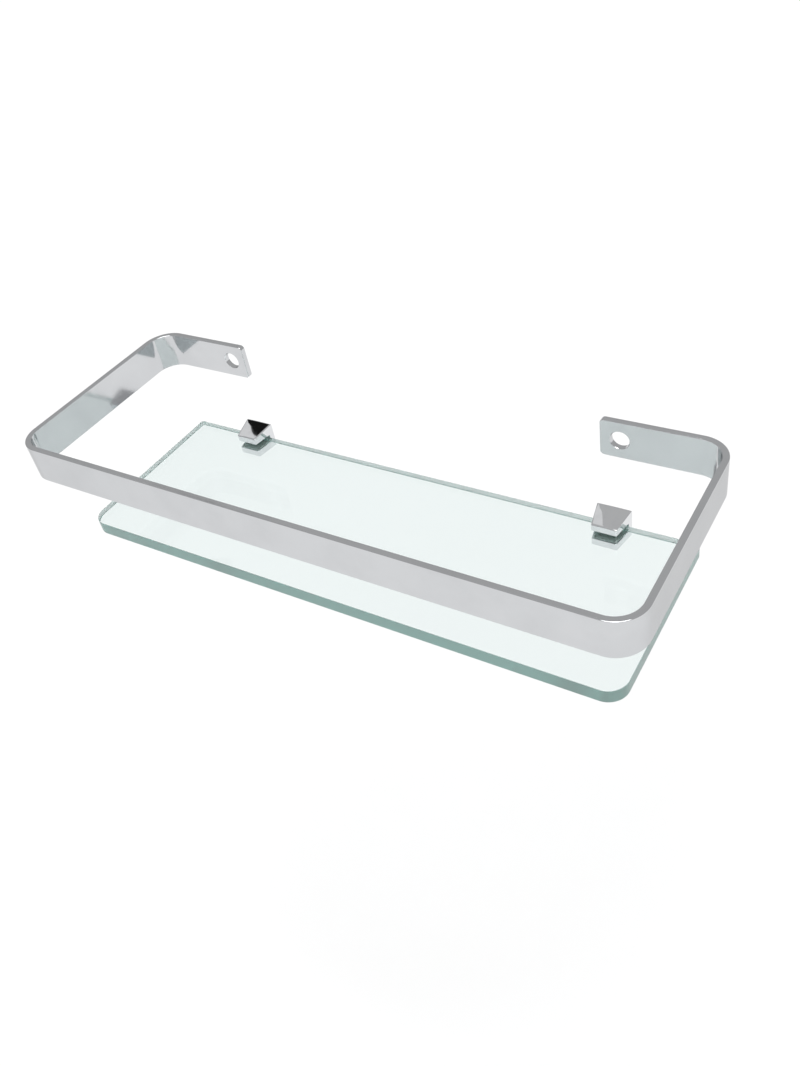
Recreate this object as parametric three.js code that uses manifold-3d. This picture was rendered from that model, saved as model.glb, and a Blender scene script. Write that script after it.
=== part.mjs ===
// A small glass wall shelf: a clear glass plate gripped at its back edge by two cast clips,
// under a guard rail bent from flat bar. Both clips and both rail tabs are fixed to the wall.
//
// Millimetres. The wall is the plane y = 0 and the shelf stands out from it towards -Y.
// +X runs along the wall, +Z is up. The origin is on the wall, midway between the clips,
// level with the middle of the glass.

import * as THREE from 'three';
import { mergeVertices } from 'three/addons/utils/BufferGeometryUtils.js';
import Module from 'manifold-3d';

// ---------------------------------------------------------------- driving dimensions

const glass = {
  width: 250,
  depth: 80,
  thickness: 6,
  frontCornerRadius: 8,
  backCornerRadius: 1.5,
  arris: 0.4, // small ground chamfer round both faces
};

const rail = {
  barHeight: 16,
  barThickness: 2.5,
  bendRadius: 12, // outside of each bend
  gapAboveGlass: 32,
  sideOverhang: 10, // how far the rail stands out past each end of the glass
  frontOverhang: 11.6, // how far it stands out past the glass's front edge
  tabLength: 50, // from the outside of the leg to the tab's end
  holeDiameter: 7.5,
  holeToTabEnd: 7.8,
};

const clip = {
  wallWidth: 14.5,
  noseWidth: 10.5,
  reach: 11.5, // from the wall to the nose
  heightAtWall: 5.6, // top of the upper jaw over the glass, at the wall
  heightAtNose: 3.7,
  lowerJaw: 3.4, // depth of the lower jaw under the slot
  web: 2.8, // wall of the clip behind the slot
  insetFromGlassEnd: 35.5,
  noseCornerRadius: 0.4,
  edgeRadius: 0.6,
  slotLipRadius: 0.3,
  wallScrewHole: 3.4,
  countersink: 5.6,
};

const liner = {
  thickness: 0.4,
  inset: 0.5, // how far it stays inside the clip's outline
  screwAccess: 5.8,
};

const clamp = {
  plateThickness: 0.6,
  rimRoundPlate: 1.1, // jaw left in front of and behind the plate's recess
  screwDiameter: 3,
  screwLength: 3,
  screwPitch: 0.5,
  turnsToFree: 1,
  socketAcrossFlats: 1.5,
  socketDepth: 1.3,
  tipChamfer: 0.3,
};

const clearance = {
  glassInLiner: 0.1, // each face
  glassToLinerBack: 0.2,
  plateInRecess: 0.3, // round the plate
  plateUnderLiner: 0.05,
  screwUnderPlate: 0.05,
  plateOverRecessFloor: 0.1, // left when the screw is backed off
  thread: 0.08, // on the radius
};

const bendSteps = 20;
const smallArcSteps = 6;
const roundSteps = 48;

// ---------------------------------------------------------------- derived places

const halfGlass = glass.thickness / 2;
const slotHalfHeight = halfGlass + clearance.glassInLiner + liner.thickness;
const glassBackY = -(clip.web + liner.thickness + clearance.glassToLinerBack);
const glassFrontY = glassBackY - glass.depth;

const clipX = glass.width / 2 - clip.insetFromGlassEnd;
const clipTopAtWall = halfGlass + clip.heightAtWall;
const clipTopAtNose = halfGlass + clip.heightAtNose;
const clipBottom = -(slotHalfHeight + clip.lowerJaw);

const railWidth = glass.width + 2 * rail.sideOverhang;
const railDepth = rail.frontOverhang - glassFrontY;
const railBottom = halfGlass + rail.gapAboveGlass;
const tabEndX = railWidth / 2 - rail.tabLength;
const tabHoleX = tabEndX + rail.holeToTabEnd;
const tabHoleZ = railBottom + rail.barHeight / 2;

const screwTravel = clamp.screwPitch * clamp.turnsToFree;
const plateY = (glassBackY - clip.reach) / 2;
const recessRadius = (clip.reach + glassBackY) / 2 - clamp.rimRoundPlate;
const plateRadius = recessRadius - clearance.plateInRecess;
const plateTop = -slotHalfHeight - clearance.plateUnderLiner;
const plateBottom = plateTop - clamp.plateThickness;
const recessFloor = plateBottom - screwTravel - clearance.plateOverRecessFloor;
const screwTop = plateBottom - clearance.screwUnderPlate;

// ---------------------------------------------------------------- materials

const polishedSteel = () => new THREE.MeshStandardMaterial({ color: 0xc9cbce, roughness: 0.16, metalness: 1 });
const castChrome = () => new THREE.MeshStandardMaterial({ color: 0xbfc1c5, roughness: 0.12, metalness: 1 });
const clearGlass = () => new THREE.MeshStandardMaterial({
  color: 0xdff0ec,
  roughness: 0.04,
  metalness: 0,
  transparent: true,
  opacity: 0.35,
});
const softVinyl = () => new THREE.MeshStandardMaterial({ color: 0x59625f, roughness: 0.55, metalness: 0 });
const zincPlate = () => new THREE.MeshStandardMaterial({ color: 0x9fa2a5, roughness: 0.35, metalness: 1 });
const darkSteel = () => new THREE.MeshStandardMaterial({ color: 0x4c4d50, roughness: 0.4, metalness: 1 });

// ---------------------------------------------------------------- solids

const wasm = await Module();
wasm.setup();

// A closed mesh as a solid that can be joined and cut.
function toSolid(geometry) {
  geometry.deleteAttribute('normal');
  geometry.deleteAttribute('uv');
  const merged = mergeVertices(geometry, 1e-4);
  return new wasm.Manifold(new wasm.Mesh({
    numProp: 3,
    vertProperties: merged.attributes.position.array,
    triVerts: new Uint32Array(merged.index.array),
  }));
}

function toNamedMesh(name, solid, material) {
  const { vertProperties, triVerts } = solid.getMesh();
  const geometry = new THREE.BufferGeometry();
  geometry.setAttribute('position', new THREE.BufferAttribute(vertProperties, 3));
  geometry.setIndex(new THREE.BufferAttribute(triVerts, 1));
  geometry.computeVertexNormals();
  const mesh = new THREE.Mesh(geometry, material);
  mesh.name = name;
  return mesh;
}

// An outline from corners [a, b, radius], each corner rounded by an arc tangent to both sides.
function roundedShape(corners, steps) {
  const points = [];
  corners.forEach(([a, b, radius = 0], i) => {
    const corner = new THREE.Vector2(a, b);
    if (radius === 0) {
      points.push(corner);
      return;
    }
    const before = corners[(i + corners.length - 1) % corners.length];
    const after = corners[(i + 1) % corners.length];
    const toBefore = new THREE.Vector2(before[0] - a, before[1] - b).normalize();
    const toAfter = new THREE.Vector2(after[0] - a, after[1] - b).normalize();
    const halfAngle = Math.acos(toBefore.dot(toAfter)) / 2;
    const centre = toBefore.clone().add(toAfter).setLength(radius / Math.sin(halfAngle)).add(corner);
    const start = toBefore.clone().multiplyScalar(radius / Math.tan(halfAngle)).add(corner).sub(centre);
    const sweep = (Math.PI - 2 * halfAngle) * -Math.sign(toBefore.cross(toAfter));
    for (let k = 0; k <= steps; k += 1) {
      points.push(start.clone().rotateAround(new THREE.Vector2(), (sweep * k) / steps).add(centre));
    }
  });
  return new THREE.Shape(points);
}

// An outline in X and Y, carried up from one level to another.
function upright(shape, bottom, top) {
  const geometry = new THREE.ExtrudeGeometry(shape, { depth: top - bottom, bevelEnabled: false });
  return toSolid(geometry.translate(0, 0, bottom));
}

// A section in Y and Z, carried along X over the given width, centred on x = 0.
function alongWall(shape, width) {
  const geometry = new THREE.ExtrudeGeometry(shape, { depth: width, bevelEnabled: false });
  geometry.translate(0, 0, -width / 2);
  const sectionToWall = new THREE.Matrix4().makeBasis(
    new THREE.Vector3(0, 1, 0),
    new THREE.Vector3(0, 0, 1),
    new THREE.Vector3(1, 0, 0),
  );
  return toSolid(geometry.applyMatrix4(sectionToWall));
}

// A round bar along Z, with its own radius at each end.
function uprightRound(y, bottom, top, bottomRadius, topRadius = bottomRadius) {
  const geometry = new THREE.CylinderGeometry(topRadius, bottomRadius, top - bottom, roundSteps);
  return toSolid(geometry.rotateX(Math.PI / 2).translate(0, y, (bottom + top) / 2));
}

// A round bar along Y; the first radius is at the end nearer the wall.
function roundThroughWall(x, z, wallEnd, roomEnd, wallRadius, roomRadius = wallRadius) {
  const geometry = new THREE.CylinderGeometry(wallRadius, roomRadius, wallEnd - roomEnd, roundSteps);
  return toSolid(geometry.translate(x, (wallEnd + roomEnd) / 2, z));
}

// ---------------------------------------------------------------- guard rail

// One flat bar on edge: a long front, two legs, and two tabs turned inwards against the wall.
function guardRail() {
  const outerX = railWidth / 2;
  const innerX = outerX - rail.barThickness;
  const innerFrontY = -railDepth + rail.barThickness;
  const innerRadius = rail.bendRadius - rail.barThickness;
  const bar = roundedShape([
    [-tabEndX, 0],
    [-outerX, 0, rail.bendRadius],
    [-outerX, -railDepth, rail.bendRadius],
    [outerX, -railDepth, rail.bendRadius],
    [outerX, 0, rail.bendRadius],
    [tabEndX, 0],
    [tabEndX, -rail.barThickness],
    [innerX, -rail.barThickness, innerRadius],
    [innerX, innerFrontY, innerRadius],
    [-innerX, innerFrontY, innerRadius],
    [-innerX, -rail.barThickness, innerRadius],
    [-tabEndX, -rail.barThickness],
  ], bendSteps);
  let solid = upright(bar, railBottom, railBottom + rail.barHeight);
  for (const side of [-1, 1]) {
    const hole = roundThroughWall(side * tabHoleX, tabHoleZ, 1, -rail.barThickness - 1, rail.holeDiameter / 2);
    solid = solid.subtract(hole);
  }
  return toNamedMesh('guard_rail', solid, polishedSteel());
}

// ---------------------------------------------------------------- glass

// Float glass, square at the back, rounded at the front corners, every edge polished flat
// with a small arris on both faces.
function glassShelf() {
  const x = glass.width / 2 - glass.arris;
  const back = glassBackY - glass.arris;
  const front = glassFrontY + glass.arris;
  const backRadius = glass.backCornerRadius - glass.arris;
  const frontRadius = glass.frontCornerRadius - glass.arris;
  const plan = roundedShape([
    [-x, back, backRadius],
    [-x, front, frontRadius],
    [x, front, frontRadius],
    [x, back, backRadius],
  ], bendSteps);
  const geometry = new THREE.ExtrudeGeometry(plan, {
    depth: glass.thickness - 2 * glass.arris,
    bevelEnabled: true,
    bevelThickness: glass.arris,
    bevelSize: glass.arris,
    bevelSegments: 1,
  });
  geometry.translate(0, 0, glass.arris - halfGlass);
  return toNamedMesh('glass_shelf', toSolid(geometry), clearGlass());
}

// ---------------------------------------------------------------- clips

// The clip's outline seen from above: it narrows from the wall to the nose.
function clipPlan(wallHalf, noseHalf, noseY, cornerRadius) {
  return roundedShape([
    [-wallHalf, 0],
    [-noseHalf, noseY, cornerRadius],
    [noseHalf, noseY, cornerRadius],
    [wallHalf, 0],
  ], smallArcSteps);
}

// One casting: an upper jaw whose top falls away towards the nose, a web against the wall with
// a countersunk screw hole, and a lower jaw with a recess for the pressure plate over a tapped bore.
function clipBody(name) {
  const plan = clipPlan(clip.wallWidth / 2, clip.noseWidth / 2, -clip.reach, clip.noseCornerRadius);
  const section = roundedShape([
    [0, clipBottom, clip.edgeRadius],
    [0, clipTopAtWall, clip.edgeRadius],
    [-clip.reach, clipTopAtNose, clip.edgeRadius],
    [-clip.reach, slotHalfHeight, clip.slotLipRadius],
    [-clip.web, slotHalfHeight],
    [-clip.web, -slotHalfHeight],
    [-clip.reach, -slotHalfHeight, clip.slotLipRadius],
    [-clip.reach, clipBottom, clip.edgeRadius],
  ], smallArcSteps);
  const sinkDepth = (clip.countersink - clip.wallScrewHole) / 2;
  const solid = upright(plan, clipBottom - 1, clipTopAtWall + 1)
    .intersect(alongWall(section, clip.wallWidth + 2))
    .subtract(roundThroughWall(0, 0, 1, -clip.web - 1, clip.wallScrewHole / 2))
    .subtract(roundThroughWall(
      0, 0, sinkDepth - clip.web, -clip.web - sinkDepth, clip.wallScrewHole / 2, clip.countersink / 2 + sinkDepth,
    ))
    .subtract(uprightRound(plateY, recessFloor, -slotHalfHeight + 1, recessRadius))
    .subtract(uprightRound(plateY, clipBottom - 1, recessFloor + 1, clamp.screwDiameter / 2 + clearance.thread));
  return toNamedMesh(name, solid, castChrome());
}

// A soft U that wraps the back edge of the glass, with a hole to reach the wall screw.
function clipLiner(name) {
  const inner = halfGlass + clearance.glassInLiner;
  const wallY = -clip.web;
  const noseY = -clip.reach + liner.inset;
  const plan = clipPlan(
    clip.wallWidth / 2 - liner.inset, clip.noseWidth / 2 - liner.inset, noseY, clip.noseCornerRadius,
  );
  const section = roundedShape([
    [wallY, -slotHalfHeight],
    [wallY, slotHalfHeight],
    [noseY - 1, slotHalfHeight],
    [noseY - 1, inner],
    [wallY - liner.thickness, inner],
    [wallY - liner.thickness, -inner],
    [noseY - 1, -inner],
    [noseY - 1, -slotHalfHeight],
  ], smallArcSteps);
  const solid = alongWall(section, clip.wallWidth)
    .intersect(upright(plan, -slotHalfHeight - 1, slotHalfHeight + 1))
    .subtract(roundThroughWall(0, 0, wallY + 1, wallY - liner.thickness - 1, liner.screwAccess / 2));
  return toNamedMesh(name, solid, softVinyl());
}

// The loose disc that the clamp screw lifts against the liner.
function pressurePlate(name) {
  return toNamedMesh(name, uprightRound(plateY, plateBottom, plateTop, plateRadius), zincPlate());
}

// A headless screw, turned from below with a hexagon key.
function clampScrew(name) {
  const radius = clamp.screwDiameter / 2;
  const bottom = screwTop - clamp.screwLength;
  const shank = uprightRound(plateY, bottom + clamp.tipChamfer, screwTop - clamp.tipChamfer, radius);
  const tip = uprightRound(plateY, screwTop - clamp.tipChamfer, screwTop, radius, radius - clamp.tipChamfer);
  const foot = uprightRound(plateY, bottom, bottom + clamp.tipChamfer, radius - clamp.tipChamfer, radius);
  const socketRadius = clamp.socketAcrossFlats / Math.sqrt(3);
  const socket = new THREE.CylinderGeometry(socketRadius, socketRadius, clamp.socketDepth + 1, 6)
    .rotateX(Math.PI / 2)
    .translate(0, plateY, bottom + (clamp.socketDepth - 1) / 2);
  return toNamedMesh(name, shank.add(tip).add(foot).subtract(toSolid(socket)), darkSteel());
}

function clipSet(side) {
  const set = new THREE.Group();
  set.add(clipBody(`${side}_clip_body`));
  set.add(clipLiner(`${side}_clip_liner`));
  set.add(pressurePlate(`${side}_pressure_plate`));
  set.add(clampScrew(`${side}_clamp_screw`));
  set.position.x = side === 'left' ? -clipX : clipX;
  return set;
}

// ---------------------------------------------------------------- the shelf

const shelf = new THREE.Group();
shelf.add(guardRail());
shelf.add(glassShelf());
shelf.add(clipSet('left'));
shelf.add(clipSet('right'));

export default shelf;
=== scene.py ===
"""A small glass wall shelf: a clear plate held at its back edge by two cast clips, under a guard
rail bent from flat bar. Metres; the wall is y = 0 and the shelf stands out towards -Y."""

import math

import bpy
import numpy as np
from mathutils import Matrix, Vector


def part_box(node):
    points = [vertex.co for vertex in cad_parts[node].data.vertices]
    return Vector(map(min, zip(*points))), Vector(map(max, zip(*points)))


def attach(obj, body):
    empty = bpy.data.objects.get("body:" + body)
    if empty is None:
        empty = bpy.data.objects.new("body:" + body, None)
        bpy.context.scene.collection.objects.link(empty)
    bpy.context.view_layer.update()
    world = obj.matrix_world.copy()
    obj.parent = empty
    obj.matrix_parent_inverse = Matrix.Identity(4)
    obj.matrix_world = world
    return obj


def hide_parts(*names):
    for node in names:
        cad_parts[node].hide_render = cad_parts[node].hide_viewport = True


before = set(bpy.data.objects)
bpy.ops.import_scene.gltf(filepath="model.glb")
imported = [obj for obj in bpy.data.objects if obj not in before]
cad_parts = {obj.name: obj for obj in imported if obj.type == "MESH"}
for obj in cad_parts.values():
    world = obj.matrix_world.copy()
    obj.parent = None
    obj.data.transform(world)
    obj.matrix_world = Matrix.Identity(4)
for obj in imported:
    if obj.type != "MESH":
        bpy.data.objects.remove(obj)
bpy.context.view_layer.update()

# ------------------------------------------------------------------ camera
# A normal lens about half a metre off, above and to the right of the shelf and rolled a little,
# as a hand-held view is. It looks down through the plate at the floor.

LENS_MM = 33.29
SENSOR_MM = 36
NEAREST_SEEN = 0.01
LIGHT_BOUNCES = 48
CAMERA_PLACE = (0.20406, -0.27849, 0.26590)
CAMERA_RIGHT = np.array((0.84703383, 0.50871700, -0.15408021))
CAMERA_UP = np.array((-0.24051506, 0.62531917, 0.74238025))

camera_data = bpy.data.cameras.new("camera")
camera_data.lens = LENS_MM
camera_data.sensor_width = SENSOR_MM
camera_data.clip_start = NEAREST_SEEN
camera = bpy.data.objects.new("camera", camera_data)
bpy.context.scene.collection.objects.link(camera)
placing = np.eye(4)
placing[:3, 0] = CAMERA_RIGHT
placing[:3, 1] = CAMERA_UP
placing[:3, 2] = np.cross(CAMERA_RIGHT, CAMERA_UP)
placing[:3, 3] = CAMERA_PLACE
camera.matrix_world = placing.T.tolist()
bpy.context.scene.camera = camera
bpy.context.scene.view_settings.view_transform = "Standard"
# light that enters the plate's edge crosses it many times before it leaves
bpy.context.scene.cycles.max_bounces = LIGHT_BOUNCES
bpy.context.scene.cycles.transmission_bounces = LIGHT_BOUNCES
bpy.context.scene.cycles.glossy_bounces = LIGHT_BOUNCES

# ------------------------------------------------------------------ floor and light
# A white sweep far below the shelf, which the polished faces mirror, under an even grey sky and
# one very broad lamp from the front right. A black flag and two pale boards stand over the back
# left, where only the polished tops of the clips find them.

FLOOR_LEVEL = -0.6
FLOOR_RADIUS = 30.0
FLOOR_RIM_POINTS = 96
FLOOR_WHITE = (0.9, 0.9, 0.9, 1)
SKY_GREY = 0.52
LAMP_STRENGTH = 2.2
LAMP_ANGLE = math.radians(50)
LAMP_TILT = (math.radians(26), 0, math.radians(28))


def link_mesh(name, points, faces):
    """A mesh object from an array of points and a list of faces, with the object left at the
    origin so that the place is in the mesh."""
    mesh = bpy.data.meshes.new(name)
    mesh.from_pydata(np.asarray(points, float).tolist(), [], faces)
    mesh.validate()
    piece = bpy.data.objects.new(name, mesh)
    bpy.context.scene.collection.objects.link(piece)
    return piece


def new_material(name):
    """A node material with its tree and its Principled shader, which is joined to the output."""
    material = bpy.data.materials.new(name)
    material.use_nodes = True
    return material, material.node_tree, material.node_tree.nodes["Principled BSDF"]


around = np.linspace(0, 2 * np.pi, FLOOR_RIM_POINTS, endpoint=False)
floor_rim = np.column_stack([np.cos(around), np.sin(around), 0 * around]) * FLOOR_RADIUS
floor = link_mesh("floor", floor_rim + (0, 0, FLOOR_LEVEL), [list(range(FLOOR_RIM_POINTS))])
floor_paint, floor_tree, floor_shader = new_material("floor_paint")
floor_shader.inputs["Base Color"].default_value = FLOOR_WHITE
floor_shader.inputs["Roughness"].default_value = 1.0
floor_shader.inputs["Specular IOR Level"].default_value = 0.0
floor.data.materials.append(floor_paint)

sky = bpy.data.worlds.new("sky")
sky.use_nodes = True
backdrop = sky.node_tree.nodes["Background"]
backdrop.inputs["Color"].default_value = (SKY_GREY, SKY_GREY, SKY_GREY, 1)
bpy.context.scene.world = sky

lamp_data = bpy.data.lights.new("broad_lamp", "SUN")
lamp_data.energy = LAMP_STRENGTH
lamp_data.angle = LAMP_ANGLE
lamp = bpy.data.objects.new("broad_lamp", lamp_data)
lamp.rotation_euler = LAMP_TILT
bpy.context.scene.collection.objects.link(lamp)

BOARD_DISTANCE = 1.6
PALE_GLOW = 0.78
BLACK_GLOW = 0.01
BLACK_FLAG = ((-60.4, 39), (-58.0, 49.5), (-52, 51), (-53, 41))
PALE_BOARDS = (
    ((-66, 38), (-64, 50), (-58.05, 49.5), (-60.45, 39)),
    ((-46, 52), (-40, 62), (-34.5, 58.6), (-38.4, 53.7)),
)


def studio_board(name, aim, corners, brightness):
    """A board seen only in reflections: its corners are bearings and heights in degrees, seen from
    the point it is aimed at, all at the same distance."""
    bearing, height = np.radians(corners).T
    away = np.column_stack([
        np.sin(bearing) * np.cos(height), np.cos(bearing) * np.cos(height), np.sin(height)])
    board = link_mesh(name, away * BOARD_DISTANCE + aim, [list(range(len(corners)))])
    material, _, shader = new_material(name)
    shader.inputs["Base Color"].default_value = (0, 0, 0, 1)
    shader.inputs["Specular IOR Level"].default_value = 0.0
    shader.inputs["Emission Color"].default_value = (1, 1, 1, 1)
    shader.inputs["Emission Strength"].default_value = brightness
    board.data.materials.append(material)
    board.visible_camera = board.visible_diffuse = False
    board.visible_shadow = board.visible_transmission = False


left_clip_top, right_clip_top = (
    ((low.x + high.x) / 2, (low.y + high.y) / 2, high.z)
    for low, high in (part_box("left_clip_body"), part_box("right_clip_body"))
)
studio_board("black_flag", left_clip_top, BLACK_FLAG, BLACK_GLOW)
studio_board("pale_board_left", left_clip_top, PALE_BOARDS[0], PALE_GLOW)
studio_board("pale_board_right", right_clip_top, PALE_BOARDS[1], PALE_GLOW)

# ------------------------------------------------------------------ guard rail
# One length of polished flat bar, bent on edge into a front and two legs, with both ends turned
# in against the wall as tabs. Each tab has one drilled hole for a wall screw, left empty here.

BAR_THICKNESS = 0.0025
BAR_EDGE_ROUND = 0.00035
TAB_CORNER_ROUND = 0.0018
BEND_RADIUS = 0.012
TAB_END_X = 0.085
TAB_HOLE_X = 0.0928
TAB_HOLE_RADIUS = 0.00375
HOLE_CHAMFER = 0.0002
HOLE_STEPS_ROUND = 72
BEND_STEPS = 32
ROUND_STEPS = 5
END_STEPS = 7
NEARLY_FULL = 0.98  # of a radius, so that an inset ring never closes to a point
CUTTER_OVERRUN = 0.001
RAIL_SHARP = 38
AREA_WEIGHT = 80
HAIR_DETAIL = 3
HAIR_WINDOW = (0.58, 0.74)
SMEAR_DETAIL = 4
SMEAR_RAGGEDNESS = 0.6
SMEAR_WINDOW = (0.42, 0.72)
RAIL_STEEL = (0.63, 0.64, 0.655, 1)
RAIL_STEEL_DULL = (0.59, 0.60, 0.615, 1)
RAIL_GRAZING = 0.74
RAIL_GRAIN = (0.12, 0.12, 6.0)


def arc_corner(before, corner, after, radius, steps):
    """A corner of an outline as an arc that touches both sides: its centre lies on the bisector at
    radius / sin(half angle), and its points turn evenly from one side's normal to the other's."""
    before, corner, after = (np.asarray(p, float) for p in (before, corner, after))
    if radius == 0:
        return corner[None]
    u = (before - corner) / np.linalg.norm(before - corner)
    v = (after - corner) / np.linalg.norm(after - corner)
    half = math.acos(np.clip(u @ v, -1, 1)) / 2
    centre = corner + (u + v) / np.linalg.norm(u + v) * radius / math.sin(half)
    start = corner + u * radius / math.tan(half) - centre
    turn = -np.sign(u[0] * v[1] - u[1] * v[0]) * (math.pi - 2 * half) * np.linspace(0, 1, steps + 1)
    return centre + np.column_stack([
        start[0] * np.cos(turn) - start[1] * np.sin(turn),
        start[0] * np.sin(turn) + start[1] * np.cos(turn),
    ])


def rounded_outline(corners, steps):
    """A closed outline from corners (a, b, radius), with every corner replaced by its arc."""
    places = [corner[:2] for corner in corners]
    return np.concatenate([
        arc_corner(places[i - 1], place, places[(i + 1) % len(places)], corners[i][2], steps)
        for i, place in enumerate(places)
    ])


def strip_faces(rows, columns):
    """Quads between each ring of a stack and the next, the last column joined to the first."""
    i, j = np.meshgrid(np.arange(rows - 1), np.arange(columns), indexing="ij")
    along = (j + 1) % columns
    return np.stack([
        i * columns + j, i * columns + along, (i + 1) * columns + along, (i + 1) * columns + j,
    ], axis=-1).reshape(-1, 4).tolist()


def closed_tube(name, rings):
    """A solid from a stack of closed rings, capped flat at its first and last ring."""
    rows, columns = rings.shape[:2]
    caps = [list(range(columns))[::-1], list(range((rows - 1) * columns, rows * columns))]
    return link_mesh(name, rings.reshape(-1, 3), strip_faces(rows, columns) + caps)


def face_outwards(piece):
    """Turns the whole surface right side out if its volume, the sum over its triangles of the
    first corner times the cross product of the other two, comes out negative."""
    mesh = piece.data
    mesh.calc_loop_triangles()
    corners = np.empty(len(mesh.loop_triangles) * 3, np.int32)
    mesh.loop_triangles.foreach_get("vertices", corners)
    places = np.empty(len(mesh.vertices) * 3)
    mesh.vertices.foreach_get("co", places)
    a, b, c = places.reshape(-1, 3)[corners.reshape(-1, 3)].transpose(1, 0, 2)
    if np.einsum("ij,ij->i", a, np.cross(b, c)).sum() < 0:
        mesh.flip_normals()


def cut_away(piece, cutter):
    """Takes the cutter out of the piece, keeps the result as the piece's own mesh and drops the
    cutter."""
    face_outwards(piece)
    face_outwards(cutter)
    cut = piece.modifiers.new("cut", "BOOLEAN")
    cut.operation = "DIFFERENCE"
    cut.solver = "EXACT"
    cut.object = cutter
    evaluated = piece.evaluated_get(bpy.context.evaluated_depsgraph_get())
    done = bpy.data.meshes.new_from_object(evaluated)
    piece.modifiers.clear()
    piece.data = done
    bpy.data.objects.remove(cutter)


def smooth_shade(piece, sharp_degrees=50):
    """Smooth faces with hard edges only at steep angles, and normals weighted by face area, so
    that flats stay flat up to the rounded edges beside them."""
    face_outwards(piece)
    piece.data.shade_smooth()
    piece.data.set_sharp_from_angle(angle=math.radians(sharp_degrees))
    weighted = piece.modifiers.new("area_weighted_normals", "WEIGHTED_NORMAL")
    weighted.keep_sharp = True
    weighted.weight = AREA_WEIGHT


def lathe(name, profile, centre, axis, steps=64):
    """A turned solid about Z or Y: profile rows are (place along the axis, radius), from end to
    end, and each becomes a circle."""
    along, radius = np.asarray(profile, float).T
    turn = np.linspace(0, 2 * np.pi, steps, endpoint=False)
    ring = np.stack(np.broadcast_arrays(
        radius[:, None] * np.cos(turn), radius[:, None] * np.sin(turn), along[:, None],
    ), axis=-1)
    if axis == "y":
        ring = ring[:, :, [0, 2, 1]]
    return closed_tube(name, ring + np.asarray(centre, float))


def swept_bar(name, path, thickness, low, high, edge_round, end_round):
    """A flat bar on edge carried along a level path: a section of rounded corners in the path's
    sideways direction and Z. Near each end the section shrinks along two quarter circles, a small
    one all round for the edge and a larger one in height for the corners of the end."""
    step = np.gradient(path, axis=0)
    along = step / np.linalg.norm(step, axis=1)[:, None]
    sideways = np.column_stack([along[:, 1], -along[:, 0]])
    advance = np.unique(np.concatenate([
        radius * (1 - np.cos(np.linspace(0, math.pi / 2, END_STEPS)))
        for radius in (edge_round, end_round)]))
    edge_inset, end_inset = (
        NEARLY_FULL * (radius - np.sqrt(radius ** 2 - np.clip(radius - advance, 0, None) ** 2))
        for radius in (edge_round, end_round))
    stations = np.concatenate([path[0] + along[0] * advance[:, None], path[1:-1],
                               path[-1] - along[-1] * advance[::-1, None]])
    across = np.concatenate([
        np.repeat(sideways[:1], len(advance), 0), sideways[1:-1],
        np.repeat(sideways[-1:], len(advance), 0)])
    insets, lowering = (
        np.concatenate([inset, np.zeros(len(path) - 2), inset[::-1]])
        for inset in (edge_inset, end_inset))
    a, b = thickness / 2, (high - low) / 2
    rings = []
    for place, side, shrink, lower in zip(stations, across, insets, lowering):
        section = rounded_outline([
            (sign_a * (a - shrink), sign_b * (b - max(shrink, lower)), edge_round - shrink)
            for sign_a, sign_b in ((-1, -1), (1, -1), (1, 1), (-1, 1))
        ], ROUND_STEPS)
        rings.append(np.column_stack([
            place + side * section[:, :1], section[:, 1] + (low + high) / 2]))
    return closed_tube(name, np.array(rings))


rail_low, rail_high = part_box("guard_rail")
half_bar = BAR_THICKNESS / 2
leg_x = rail_high.x - half_bar
tab_y = rail_high.y - half_bar
front_y = rail_low.y + half_bar
centre_bend = BEND_RADIUS - half_bar
waypoints = [
    (-TAB_END_X, tab_y), (-leg_x, tab_y), (-leg_x, front_y), (leg_x, front_y), (leg_x, tab_y),
    (TAB_END_X, tab_y),
]
bends = [
    arc_corner(before, corner, after, centre_bend, BEND_STEPS)
    for before, corner, after in zip(waypoints, waypoints[1:], waypoints[2:])
]
rail_path = np.concatenate([[waypoints[0]], *bends, [waypoints[-1]]])
guard_rail = swept_bar("polished_guard_rail", rail_path, BAR_THICKNESS, rail_low.z, rail_high.z,
                       BAR_EDGE_ROUND, TAB_CORNER_ROUND)

hole_level = (rail_low.z + rail_high.z) / 2
flare = TAB_HOLE_RADIUS + HOLE_CHAMFER + CUTTER_OVERRUN
for hole_x in (-TAB_HOLE_X, TAB_HOLE_X):
    cut_away(guard_rail, lathe("hole_cutter", [
        (CUTTER_OVERRUN, flare),
        (-HOLE_CHAMFER, TAB_HOLE_RADIUS),
        (-BAR_THICKNESS + HOLE_CHAMFER, TAB_HOLE_RADIUS),
        (-BAR_THICKNESS - CUTTER_OVERRUN, flare),
    ], (hole_x, 0, hole_level), "y", HOLE_STEPS_ROUND))
smooth_shade(guard_rail, RAIL_SHARP)


def object_noise(tree, detail, scale=None, stretch=None):
    """A cloud of noise fixed to the object, finer with a larger scale. A stretch multiplies each
    axis first, so that the cloud is drawn out along the axes with the smallest factors."""
    place = tree.nodes.new("ShaderNodeTexCoord").outputs["Object"]
    noise = tree.nodes.new("ShaderNodeTexNoise")
    noise.inputs["Detail"].default_value = detail
    if scale is not None:
        noise.inputs["Scale"].default_value = scale
    if stretch is not None:
        stretched = tree.nodes.new("ShaderNodeVectorMath")
        stretched.operation = "MULTIPLY"
        tree.links.new(place, stretched.inputs[0])
        tree.links.new(stretch, stretched.inputs[1])
        place = stretched.outputs[0]
    tree.links.new(place, noise.inputs["Vector"])
    return noise


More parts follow.
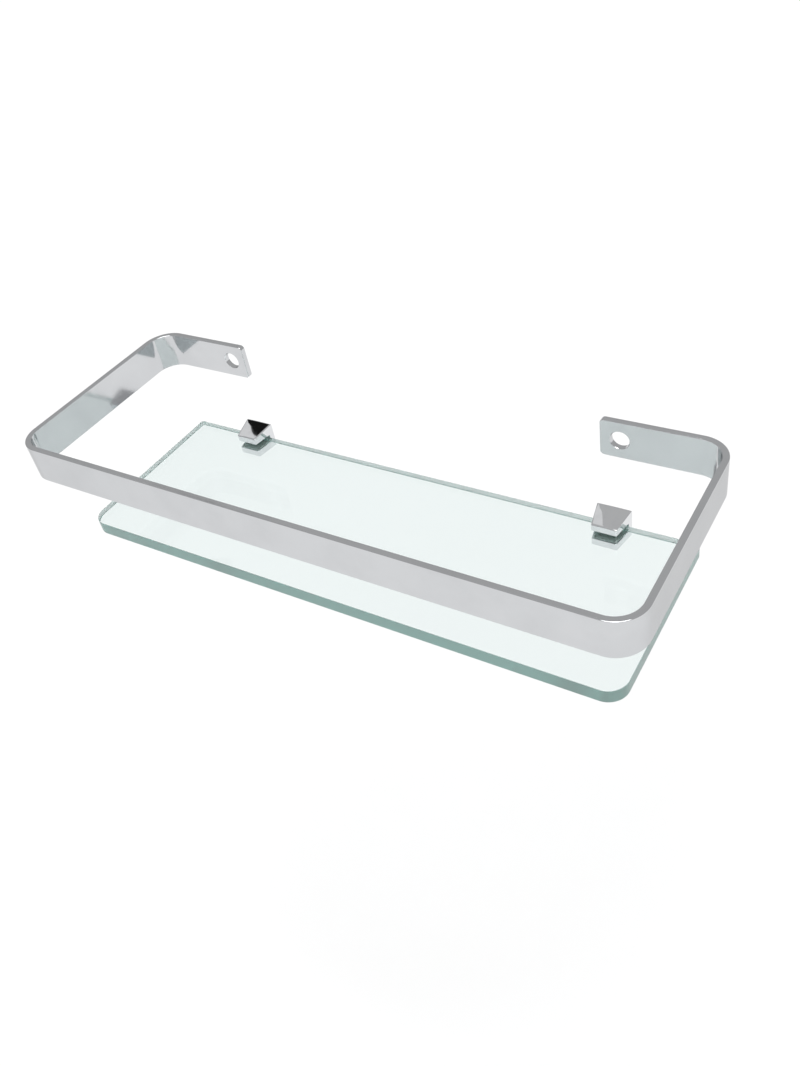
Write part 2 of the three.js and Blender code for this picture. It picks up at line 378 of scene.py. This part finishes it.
def ramp(tree, value, low, high, to_low=0.0, to_high=1.0):
    """A value that rises evenly from to_low to to_high while the given one goes from low to high,
    and stays level on both sides."""
    node = tree.nodes.new("ShaderNodeMapRange")
    for name, setting in (("From Min", low), ("From Max", high),
                          ("To Min", to_low), ("To Max", to_high)):
        node.inputs[name].default_value = setting
    tree.links.new(value, node.inputs["Value"])
    return node.outputs[0]


def add_share(tree, value, share, base):
    """The base plus a share of the value."""
    node = tree.nodes.new("ShaderNodeMath")
    node.operation = "MULTIPLY_ADD"
    for socket, source in zip(node.inputs, (value, share, base)):
        tree.links.new(source, socket)
    return node.outputs[0]


def raise_relief(tree, shader, height, strength, distance):
    """Bends the shader's normal as if the surface stood up by the height times the distance."""
    bump = tree.nodes.new("ShaderNodeBump")
    bump.inputs["Strength"].default_value = strength
    bump.inputs["Distance"].default_value = distance
    tree.links.new(height, bump.inputs["Height"])
    tree.links.new(bump.outputs["Normal"], shader.inputs["Normal"])


def wear_group():
    """Fine wear for polished metal, as a group: hairline scratches are a stretched noise kept only
    where it peaks, smears are a soft cloud, and both lift the roughness above its base. The
    cloud is also given as a tint mask and the stretched noise as a height."""
    group = bpy.data.node_groups.new("polished_wear", "ShaderNodeTree")
    for name in ("Scratch Scale", "Smear Scale", "Base Roughness", "Smear Amount", "Scratch Amount"):
        group.interface.new_socket(name, in_out="INPUT", socket_type="NodeSocketFloat")
    group.interface.new_socket("Grain Direction", in_out="INPUT", socket_type="NodeSocketVector")
    for name in ("Roughness", "Tint", "Height"):
        group.interface.new_socket(name, in_out="OUTPUT", socket_type="NodeSocketFloat")
    given = group.nodes.new("NodeGroupInput").outputs
    result = group.nodes.new("NodeGroupOutput").inputs
    hairs = object_noise(group, HAIR_DETAIL, stretch=given["Grain Direction"])
    group.links.new(given["Scratch Scale"], hairs.inputs["Scale"])
    smears = object_noise(group, SMEAR_DETAIL)
    smears.inputs["Roughness"].default_value = SMEAR_RAGGEDNESS
    group.links.new(given["Smear Scale"], smears.inputs["Scale"])
    cloud = ramp(group, smears.outputs["Fac"], *SMEAR_WINDOW)
    peaks = ramp(group, hairs.outputs["Fac"], *HAIR_WINDOW)
    clouded = add_share(group, cloud, given["Smear Amount"], given["Base Roughness"])
    roughness = add_share(group, peaks, given["Scratch Amount"], clouded)
    group.links.new(roughness, result["Roughness"])
    group.links.new(cloud, result["Tint"])
    group.links.new(hairs.outputs["Fac"], result["Height"])
    return group


polished_wear = wear_group()


def mix_colours(tree, mask, first, second):
    """A colour that goes from first to second with the mask."""
    mix = tree.nodes.new("ShaderNodeMix")
    mix.data_type = "RGBA"
    mix.inputs["A"].default_value = first
    mix.inputs["B"].default_value = second
    tree.links.new(mask, mix.inputs["Factor"])
    return mix.outputs["Result"]


def worn_metal(name, bright, dull, grazing, settings, bump_strength, bump_distance):
    """A metal with the wear group's roughness, a mix from bright to dull under smears, hairline
    relief, and a grazing factor on what it mirrors at flat angles."""
    material, tree, shader = new_material(name)
    wear = tree.nodes.new("ShaderNodeGroup")
    wear.node_tree = polished_wear
    for socket, value in settings.items():
        wear.inputs[socket].default_value = value
    shader.inputs["Metallic"].default_value = 1.0
    shader.inputs["Specular Tint"].default_value = (grazing, grazing, grazing, 1)
    tree.links.new(mix_colours(tree, wear.outputs["Tint"], bright, dull), shader.inputs["Base Color"])
    tree.links.new(wear.outputs["Roughness"], shader.inputs["Roughness"])
    raise_relief(tree, shader, wear.outputs["Height"], bump_strength, bump_distance)
    return material


def cover(piece, material):
    """Gives the whole piece one material."""
    piece.data.materials.clear()
    piece.data.materials.append(material)


rail_steel = worn_metal(
    "rail_steel", RAIL_STEEL, RAIL_STEEL_DULL, RAIL_GRAZING,
    {"Scratch Scale": 700.0, "Smear Scale": 45.0, "Base Roughness": 0.09, "Smear Amount": 0.05,
     "Scratch Amount": 0.05, "Grain Direction": RAIL_GRAIN},
    bump_strength=0.04, bump_distance=0.00002,
)
cover(guard_rail, rail_steel)
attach(guard_rail, "wall_parts")
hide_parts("guard_rail")

# ------------------------------------------------------------------ glass plate
# Six millimetre clear float glass, nearly square at the back and rounded at the front corners.
# Every edge is ground half matt, with a small arris, and shows the glass's own green. The plate
# is held only by its back edge, in the two clips.

ARRIS = 0.0004
FRONT_CORNER = 0.008
BACK_CORNER = 0.0015
CORNER_STEPS = 24
ARRIS_POINTS = 6
GLASS_IOR = 1.52
FILM_SCALE = 55.0
FILM_DETAIL = 4
FILM_WINDOW = (0.5, 0.8)
FILM_ROUGHNESS = 0.03
GLASS_TINT = (0.32, 0.70, 0.66, 1)
GLASS_TINT_DENSITY = 25.0
FACE_COLOUR = (1.0, 1.0, 1.0, 1)
GROUND_EDGE_COLOUR = (0.41, 0.58, 0.55, 1)
GROUND_EDGE_ROUGHNESS = 0.30
GROUND_EDGE_CLEARNESS = 0.6
EDGE_TILT_WINDOW = (0.97, 0.55)


def ground_plate(name, low, high, back_corner, front_corner, arris):
    """A flat plate: its plan is a rectangle with an arc at each corner, and its edge runs up as a
    quarter circle, a straight wall and a quarter circle, by insetting the plan."""
    quarter = np.linspace(0, math.pi / 2, ARRIS_POINTS)
    inset = arris * (1 - np.sin(quarter))
    rise = arris * (1 - np.cos(quarter))
    rings = []
    for shrink, level in [*zip(inset, low.z + rise), *zip(inset[::-1], high.z - rise[::-1])]:
        plan = rounded_outline([
            (low.x + shrink, high.y - shrink, back_corner - shrink),
            (low.x + shrink, low.y + shrink, front_corner - shrink),
            (high.x - shrink, low.y + shrink, front_corner - shrink),
            (high.x - shrink, high.y - shrink, back_corner - shrink),
        ], CORNER_STEPS)
        rings.append(np.column_stack([plan, np.full(len(plan), level)]))
    return closed_tube(name, np.array(rings))


glass_low, glass_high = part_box("glass_shelf")
glass_plate = ground_plate(
    "ground_glass_plate", glass_low, glass_high, BACK_CORNER, FRONT_CORNER, ARRIS)
smooth_shade(glass_plate)

float_glass, glass_tree, glass_shader = new_material("float_glass")
glass_shader.inputs["IOR"].default_value = GLASS_IOR
film = object_noise(glass_tree, FILM_DETAIL, FILM_SCALE)
film_rough = ramp(glass_tree, film.outputs["Fac"], *FILM_WINDOW, 0.0, FILM_ROUGHNESS)
facing = glass_tree.nodes.new("ShaderNodeSeparateXYZ")
glass_tree.links.new(
    glass_tree.nodes.new("ShaderNodeNewGeometry").outputs["Normal"], facing.inputs[0])
upright = glass_tree.nodes.new("ShaderNodeMath")
upright.operation = "ABSOLUTE"
glass_tree.links.new(facing.outputs["Z"], upright.inputs[0])
# one on the edges, nothing on the faces that lie level
edge_mask = ramp(glass_tree, upright.outputs[0], *EDGE_TILT_WINDOW)
glass_tree.links.new(
    mix_colours(glass_tree, edge_mask, FACE_COLOUR, GROUND_EDGE_COLOUR),
    glass_shader.inputs["Base Color"])
edge_rough = glass_tree.nodes.new("ShaderNodeMix")
edge_rough.inputs["B"].default_value = GROUND_EDGE_ROUGHNESS
glass_tree.links.new(edge_mask, edge_rough.inputs["Factor"])
glass_tree.links.new(film_rough, edge_rough.inputs["A"])
glass_tree.links.new(edge_rough.outputs["Result"], glass_shader.inputs["Roughness"])
glass_tree.links.new(
    ramp(glass_tree, edge_mask, 0.0, 1.0, 1.0, GROUND_EDGE_CLEARNESS),
    glass_shader.inputs["Transmission Weight"])
absorb = glass_tree.nodes.new("ShaderNodeVolumeAbsorption")
absorb.inputs["Color"].default_value = GLASS_TINT
absorb.inputs["Density"].default_value = GLASS_TINT_DENSITY
glass_tree.links.new(
    absorb.outputs["Volume"], glass_tree.nodes["Material Output"].inputs["Volume"])
cover(glass_plate, float_glass)
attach(glass_plate, "glass")
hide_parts("glass_shelf")

# ------------------------------------------------------------------ wall clips
# Two chrome-plated castings, each a slotted block that narrows from the wall to its nose. A
# countersunk hole through the back of the slot takes the wall screw that fixes it, and the lower
# jaw is recessed for the pressure plate over a tapped bore.

CLIP_NOSE_HALF_WIDTH = 0.00525
CLIP_WEB = 0.0028
CLIP_EDGE_ROUND = 0.0006
CLIP_SIDE_ROUND = 0.0003
CLIP_LIP_ROUND = 0.0003
CLIP_PLAN_ROUND = 0.0004
CLIP_NOSE_DROP = 0.0019
CLIP_CROWN = 0.00012
WALL_SCREW_RADIUS = 0.0017
COUNTERSINK_RADIUS = 0.0028
RECESS_CLEARANCE = 0.0003
PLATE_TRAVEL = 0.0005
FLOOR_CLEARANCE = 0.0001
THREAD_CLEARANCE = 0.00008
BORE_LEAD_IN = 0.0003
EVEN_GRAIN = (1.0, 1.0, 1.0)
CLIP_GRAZING = 1.0
JAW_POINTS = 14
JAW_ROUND_STEPS = 6
PAST_ROUND = 1.1  # of the edge rounding, where the points between start
ACROSS_POINTS = 17
SIDE_POINTS = 5
CROWN_START = 0.001  # above the slot, so that only the top is crowned
CLIP_SHARP = 42
CLIP_CHROME = (0.75, 0.76, 0.775, 1)
CLIP_CHROME_DULL = (0.70, 0.71, 0.725, 1)


def offset_ring(ring, inset):
    """Every point of a closed outline moved inwards along the sum of its two sides' normals, by
    twice the inset over that sum's squared length, so that both sides move by the inset."""
    ahead = np.roll(ring, -1, axis=0) - ring
    behind = ring - np.roll(ring, 1, axis=0)
    ahead /= np.linalg.norm(ahead, axis=1)[:, None]
    behind /= np.linalg.norm(behind, axis=1)[:, None]
    normal_ahead = np.column_stack([ahead[:, 1], -ahead[:, 0]])
    normal_behind = np.column_stack([behind[:, 1], -behind[:, 0]])
    bisector = normal_ahead + normal_behind
    stretch = 2 / (bisector ** 2).sum(axis=1)
    shoelace = (ring[:, 0] * np.roll(ring[:, 1], -1) - ring[:, 1] * np.roll(ring[:, 0], -1)).sum()
    return ring - bisector * stretch[:, None] * inset * np.sign(shoelace)


def jaw_section(nose, wall, web, top_nose, top_wall, bottom, slot_half, rounds):
    """A slotted section in Y and Z as one closed outline: the outside from the lower nose round
    the wall to the upper nose, then the slot back again, both with the same number of points. The
    top is a straight line from its height at the wall to its height at the nose."""
    edge, lip, corner = rounds
    reach = np.linspace(0, 1, JAW_POINTS)
    near_nose = nose + (web - nose) * reach ** 2
    inside_nose = near_nose[near_nose > nose + CLIP_EDGE_ROUND * PAST_ROUND][:-1]
    top = top_wall + (top_nose - top_wall) * (inside_nose - wall) / (nose - wall)
    lower = [(y, bottom, 0) for y in inside_nose]
    upper = [(y, z, 0) for y, z in zip(inside_nose, top)][::-1]
    slot_lower = [(y, -slot_half, 0) for y in inside_nose][::-1]
    slot_upper = [(y, slot_half, 0) for y in inside_nose]
    return rounded_outline([
        (nose, bottom, edge), *lower, (wall, bottom, edge),
        (wall, top_wall, edge), *upper, (nose, top_nose, edge),
        (nose, slot_half, lip), *slot_upper, (web, slot_half, corner),
        (web, -slot_half, corner), *slot_lower, (nose, -slot_half, lip),
    ], JAW_ROUND_STEPS)


def slotted_block(name, centre_x, ring, half_width_at, side_round, crown, crown_from):
    """A slotted section carried across X. Each point's half width follows its distance from the
    wall, the two sides are rounded by insetting the section along a quarter circle, and the top
    rises across the middle as a shallow parabola. Quads from outside to slot close the sides."""
    left_side = [
        (-1.0, side_round * (1 - math.cos(angle)),
         offset_ring(ring, NEARLY_FULL * side_round * (1 - math.sin(angle))))
        for angle in np.linspace(0, math.pi / 2, SIDE_POINTS)
    ]
    middle = [(u, 0.0, ring) for u in np.linspace(-1, 1, ACROSS_POINTS)[1:-1]]
    right_side = [(1.0, depth, sunk) for _, depth, sunk in left_side[::-1]]
    rings = []
    for u, depth, section in left_side + middle + right_side:
        half = half_width_at(section[:, 0])
        x = u * half if abs(u) < 1 else u * (half - depth)
        lift = np.where(section[:, 1] > crown_from, crown * (1 - u * u), 0.0)
        rings.append(np.column_stack([x + centre_x, section[:, 0], section[:, 1] + lift]))
    rings = np.array(rings)
    rows, columns = rings.shape[:2]
    k = np.arange(columns // 2 - 1)
    side = np.column_stack([k, k + 1, columns - 2 - k, columns - 1 - k])
    side_faces = np.concatenate([side[:, ::-1], side + (rows - 1) * columns]).tolist()
    return link_mesh(name, rings.reshape(-1, 3), strip_faces(rows, columns) + side_faces)


def tapered_half_width(wall_half, nose_half, nose_y, corner):
    """The half width at a distance from the wall: a straight taper from the wall to the nose, and
    over the last stretch a quarter circle that rounds the plan's corner."""
    def at(y):
        straight = wall_half + (nose_half - wall_half) * np.clip(y / nose_y, 0, 1)
        into = np.clip((nose_y + corner - y) / corner, 0, 1)
        return straight - corner * (1 - np.sqrt(1 - into ** 2))
    return at


SIDES = ("left", "right")
clips, clip_centres = {}, {}
for side in SIDES:
    low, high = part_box(f"{side}_clip_body")
    clip_centres[side] = (low.x + high.x) / 2
    slot_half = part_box(f"{side}_clip_liner")[1].z
    section = jaw_section(
        low.y, high.y, -CLIP_WEB, high.z - CLIP_NOSE_DROP, high.z, low.z, slot_half,
        (CLIP_EDGE_ROUND, CLIP_LIP_ROUND, CLIP_LIP_ROUND),
    )
    half_width = tapered_half_width(
        (high.x - low.x) / 2, CLIP_NOSE_HALF_WIDTH, low.y, CLIP_PLAN_ROUND)
    clip = slotted_block(f"{side}_cast_clip", clip_centres[side], section, half_width,
                         CLIP_SIDE_ROUND, CLIP_CROWN, slot_half + CROWN_START)
    sink = COUNTERSINK_RADIUS - WALL_SCREW_RADIUS
    cut_away(clip, lathe("wall_screw_cutter", [
        (CUTTER_OVERRUN, WALL_SCREW_RADIUS), (sink - CLIP_WEB, WALL_SCREW_RADIUS),
        (-CLIP_WEB - sink, COUNTERSINK_RADIUS + sink),
    ], (clip_centres[side], 0, 0), "y"))
    plate_low, plate_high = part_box(f"{side}_pressure_plate")
    screw_low, screw_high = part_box(f"{side}_clamp_screw")
    bore_foot = (clip_centres[side], (plate_low.y + plate_high.y) / 2, 0)
    recess = (plate_high.x - plate_low.x) / 2 + RECESS_CLEARANCE
    recess_floor = plate_low.z - PLATE_TRAVEL - FLOOR_CLEARANCE
    cut_away(clip, lathe("recess_cutter", [(recess_floor, recess), (0, recess)], bore_foot, "z"))
    bore = (screw_high.x - screw_low.x) / 2 + THREAD_CLEARANCE
    cut_away(clip, lathe("bore_cutter", [
        (low.z - CUTTER_OVERRUN, bore + BORE_LEAD_IN + CUTTER_OVERRUN),
        (low.z + BORE_LEAD_IN, bore), (recess_floor + CUTTER_OVERRUN, bore),
    ], bore_foot, "z"))
    smooth_shade(clip, CLIP_SHARP)
    clips[side] = clip

clip_chrome = worn_metal(
    "clip_chrome", CLIP_CHROME, CLIP_CHROME_DULL, CLIP_GRAZING,
    {"Scratch Scale": 1400.0, "Smear Scale": 160.0, "Base Roughness": 0.015, "Smear Amount": 0.02,
     "Scratch Amount": 0.02, "Grain Direction": EVEN_GRAIN},
    bump_strength=0.02, bump_distance=0.00001,
)
for side, clip in clips.items():
    cover(clip, clip_chrome)
    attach(clip, "wall_parts")
    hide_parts(f"{side}_clip_body")

# ------------------------------------------------------------------ clip liners
# A soft grey-green vinyl channel pushed into each slot. It wraps the plate's back edge so that
# glass never meets metal, and a hole in its back lets a screwdriver reach the wall screw.

LINER_THICKNESS = 0.0004
LINER_INSET = 0.0005
LINER_EDGE = 0.0001
SCREW_ACCESS_RADIUS = 0.0029
LINER_CROWN = 0.0
LINER_CROWN_FROM = 1.0
VINYL_GRAIN_SCALE = 1500.0
VINYL_GRAIN_DETAIL = 4
VINYL_DARK = (0.29, 0.35, 0.33, 1)
VINYL_LIGHT = (0.39, 0.45, 0.43, 1)
VINYL_ROUGHNESS = (0.42, 0.68)
VINYL_BUMP_STRENGTH = 0.3
VINYL_BUMP_DISTANCE = 0.00005

vinyl, vinyl_tree, vinyl_shader = new_material("liner_vinyl")
grain = object_noise(vinyl_tree, VINYL_GRAIN_DETAIL, VINYL_GRAIN_SCALE).outputs["Fac"]
vinyl_tree.links.new(
    mix_colours(vinyl_tree, grain, VINYL_DARK, VINYL_LIGHT), vinyl_shader.inputs["Base Color"])
vinyl_tree.links.new(
    ramp(vinyl_tree, grain, 0.0, 1.0, *VINYL_ROUGHNESS), vinyl_shader.inputs["Roughness"])
raise_relief(vinyl_tree, vinyl_shader, grain, VINYL_BUMP_STRENGTH, VINYL_BUMP_DISTANCE)

for side in SIDES:
    low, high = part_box(f"{side}_clip_liner")
    clip_low, clip_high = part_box(f"{side}_clip_body")
    inner_half = high.z - LINER_THICKNESS
    section = jaw_section(
        low.y, high.y, high.y - LINER_THICKNESS, high.z, high.z, low.z, inner_half,
        (LINER_EDGE, LINER_EDGE, LINER_EDGE),
    )
    half_width = tapered_half_width(
        (clip_high.x - clip_low.x) / 2 - LINER_INSET, CLIP_NOSE_HALF_WIDTH - LINER_INSET,
        low.y, CLIP_PLAN_ROUND)
    liner = slotted_block(f"{side}_vinyl_liner", clip_centres[side], section, half_width,
                          LINER_EDGE, LINER_CROWN, LINER_CROWN_FROM)
    cut_away(liner, lathe("access_cutter", [
        (CUTTER_OVERRUN, SCREW_ACCESS_RADIUS), (low.y / 2, SCREW_ACCESS_RADIUS),
    ], (clip_centres[side], 0, 0), "y"))
    smooth_shade(liner, CLIP_SHARP)
    cover(liner, vinyl)
    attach(liner, "wall_parts")
    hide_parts(f"{side}_clip_liner")

# ------------------------------------------------------------------ pressure plates
# A loose zinc-plated disc under each liner. The clamp screw lifts it, and it spreads the screw's
# force so that the plate is gripped without a point load.

DISC_EDGE = 0.0002
DISC_EDGE_POINTS = 5
DISC_STEPS_ROUND = 96
ZINC = (0.56, 0.57, 0.58, 1)
ZINC_DULL = (0.44, 0.45, 0.44, 1)
ZINC_GRAZING = 0.9

zinc = worn_metal(
    "zinc_plate", ZINC, ZINC_DULL, ZINC_GRAZING,
    {"Scratch Scale": 2200.0, "Smear Scale": 420.0, "Base Roughness": 0.26, "Smear Amount": 0.18,
     "Scratch Amount": 0.1, "Grain Direction": EVEN_GRAIN},
    bump_strength=0.15, bump_distance=0.00003,
)
for side in SIDES:
    low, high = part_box(f"{side}_pressure_plate")
    radius = (high.x - low.x) / 2
    quarter = np.linspace(0, math.pi / 2, DISC_EDGE_POINTS)
    swell = radius - DISC_EDGE * (1 - np.sin(quarter))
    rise = DISC_EDGE * (1 - np.cos(quarter))
    profile = [*zip(low.z + rise, swell), *zip(high.z - rise[::-1], swell[::-1])]
    disc = lathe(f"{side}_zinc_disc", profile,
                 (clip_centres[side], (low.y + high.y) / 2, 0), "z", DISC_STEPS_ROUND)
    smooth_shade(disc)
    cover(disc, zinc)
    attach(disc, f"{side}_plate")
    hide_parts(f"{side}_pressure_plate")

# ------------------------------------------------------------------ clamp screws
# A headless M3 screw in each lower jaw, blackened, turned from below with a 1.5 mm hexagon key.

THREAD_PITCH = 0.0005
THREAD_DEPTH = 0.00027
THREAD_STEPS_ROUND = 64
THREAD_STEPS_PER_TURN = 14
TOOTH_SLOPE = 1.25
TOOTH_ROOT = 0.1
SCREW_TAPER = 0.0003
SCREW_SHARP = 40
KEY_WIDTH = 0.0015
KEY_SIDES = 6
SOCKET_RADIUS = KEY_WIDTH / math.sqrt(3)
SOCKET_DEPTH = 0.0013
SOCKET_CONE_DEPTH = SOCKET_RADIUS / 3
SOCKET_TIP_RADIUS = 0.00005
BLACK_STEEL = (0.17, 0.17, 0.18, 1)
BLACK_STEEL_DULL = (0.11, 0.11, 0.115, 1)
BLACK_STEEL_GRAZING = 0.8


def threaded_rod(name, centre, low, high, radius):
    """A rod whose radius falls and rises again once a pitch, by a depth times a tent over height
    minus turn. The tent is cut flat at its root and crest, and a cone takes off both ends."""
    rows = int((high - low) / THREAD_PITCH * THREAD_STEPS_PER_TURN)
    z = np.linspace(low, high, rows)[:, None]
    turn = np.linspace(0, 2 * np.pi, THREAD_STEPS_ROUND, endpoint=False)[None]
    phase = (z / THREAD_PITCH - turn / (2 * np.pi)) % 1
    tooth = np.clip(TOOTH_SLOPE * (1 - np.abs(2 * phase - 1)) - TOOTH_ROOT, 0, 1)
    body = radius - THREAD_DEPTH * tooth
    to_end = np.minimum(z - low, high - z)
    r = np.minimum(body, radius - SCREW_TAPER + to_end)
    rings = np.stack([r * np.cos(turn), r * np.sin(turn), np.broadcast_to(z, r.shape)], axis=-1)
    return closed_tube(name, rings + np.asarray(centre, float))


black_steel = worn_metal(
    "blackened_steel", BLACK_STEEL, BLACK_STEEL_DULL, BLACK_STEEL_GRAZING,
    {"Scratch Scale": 2600.0, "Smear Scale": 500.0, "Base Roughness": 0.32, "Smear Amount": 0.14,
     "Scratch Amount": 0.1, "Grain Direction": EVEN_GRAIN},
    bump_strength=0.2, bump_distance=0.00003,
)
for side in SIDES:
    low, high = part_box(f"{side}_clamp_screw")
    centre = (clip_centres[side], (low.y + high.y) / 2, 0)
    screw = threaded_rod(f"{side}_grub_screw", centre, low.z, high.z, (high.x - low.x) / 2)
    socket = lathe("hexagon_cutter", [
        (low.z - CUTTER_OVERRUN, SOCKET_RADIUS), (low.z + SOCKET_DEPTH, SOCKET_RADIUS),
        (low.z + SOCKET_DEPTH + SOCKET_CONE_DEPTH, SOCKET_TIP_RADIUS),
    ], centre, "z", KEY_SIDES)
    cut_away(screw, socket)
    smooth_shade(screw, SCREW_SHARP)
    cover(screw, black_steel)
    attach(screw, f"{side}_screw")
    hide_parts(f"{side}_clamp_screw")
